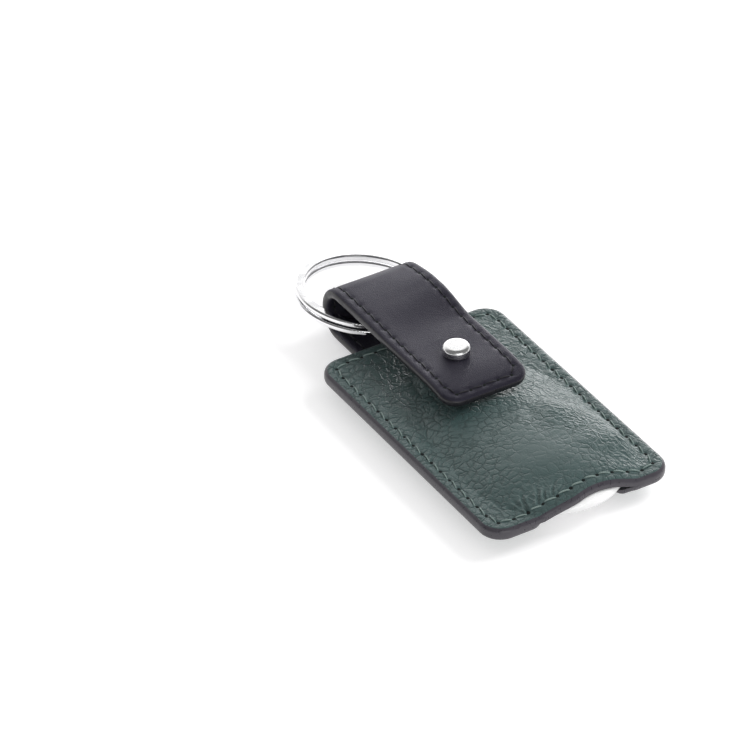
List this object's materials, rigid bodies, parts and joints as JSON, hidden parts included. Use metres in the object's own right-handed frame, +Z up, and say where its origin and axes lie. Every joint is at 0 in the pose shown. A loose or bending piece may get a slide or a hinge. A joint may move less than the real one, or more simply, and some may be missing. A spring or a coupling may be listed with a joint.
{
  "type": "tracker tag holder",
  "caption": "Flat leather pouch holding a round tracker tag, closed by a snap strap that loops through a split key ring.",
  "frame": {"origin": "on the flat of the back panel that the holder lies on, on the pouch's middle line, level with the tracker's axis", "axes": "+X across the pouch, +Y from the tracker towards the key ring, +Z up from the back to the front with the snap"},
  "size_m": [0.045, 0.1034, 0.016],
  "materials": {
    "pouch_leather": "pebble grain, semi-gloss",
    "strap_leather": "smooth, satin",
    "lining": "matte",
    "polished_steel": "polished",
    "brushed_metal": "brushed",
    "spring_brass": "bright",
    "white_plastic": "gloss",
    "board": "matte",
    "seal_rubber": "matte"
  },
  "bodies": {
    "pouch": {"front_panel": "pouch_leather", "back_panel": "pouch_leather", "front_lining": "lining", "back_lining": "lining", "strap_back_face": "strap_leather", "strap_back_lining": "strap_leather", "snap_stud": "polished_steel", "snap_stud_rivet": "polished_steel"},
    "flap": {"strap_flap_face": "strap_leather", "strap_flap_lining": "strap_leather", "snap_cap": "polished_steel", "snap_socket": "polished_steel", "snap_spring": "spring_brass"},
    "ring": {"split_ring": "polished_steel"},
    "tracker": {"tracker_shell": "white_plastic", "tracker_base": "white_plastic", "cover_seal": "seal_rubber", "circuit_board": "board", "speaker_magnet": "brushed_metal", "speaker_coil": "spring_brass", "coin_cell": "brushed_metal", "battery_contacts": "spring_brass"},
    "cover": {"battery_cover": "brushed_metal"}
  },
  "joints": [
    {"name": "flap_hinge", "type": "hinge", "parent": "pouch", "child": "flap", "pos_m": [0, 0.0722, 0.0076], "axis": [-1, 0, 0], "range_deg": [0, 110]},
    {"name": "ring_spin", "type": "hinge", "parent": "pouch", "child": "ring", "pos_m": [0.0006, 0.0719, 0.0066], "axis": [0.1132, 0, 0.9936], "continuous": true},
    {"name": "tracker_slide", "type": "slide", "parent": "pouch", "child": "tracker", "axis": [0, 1, 0], "range_m": [0, 0.003]},
    {"name": "cover_twist", "type": "hinge", "parent": "tracker", "child": "cover", "pos_m": [0.0015, 0, 0.0051], "axis": [0, 0, -1], "range_deg": [0, 30]}
  ]
}
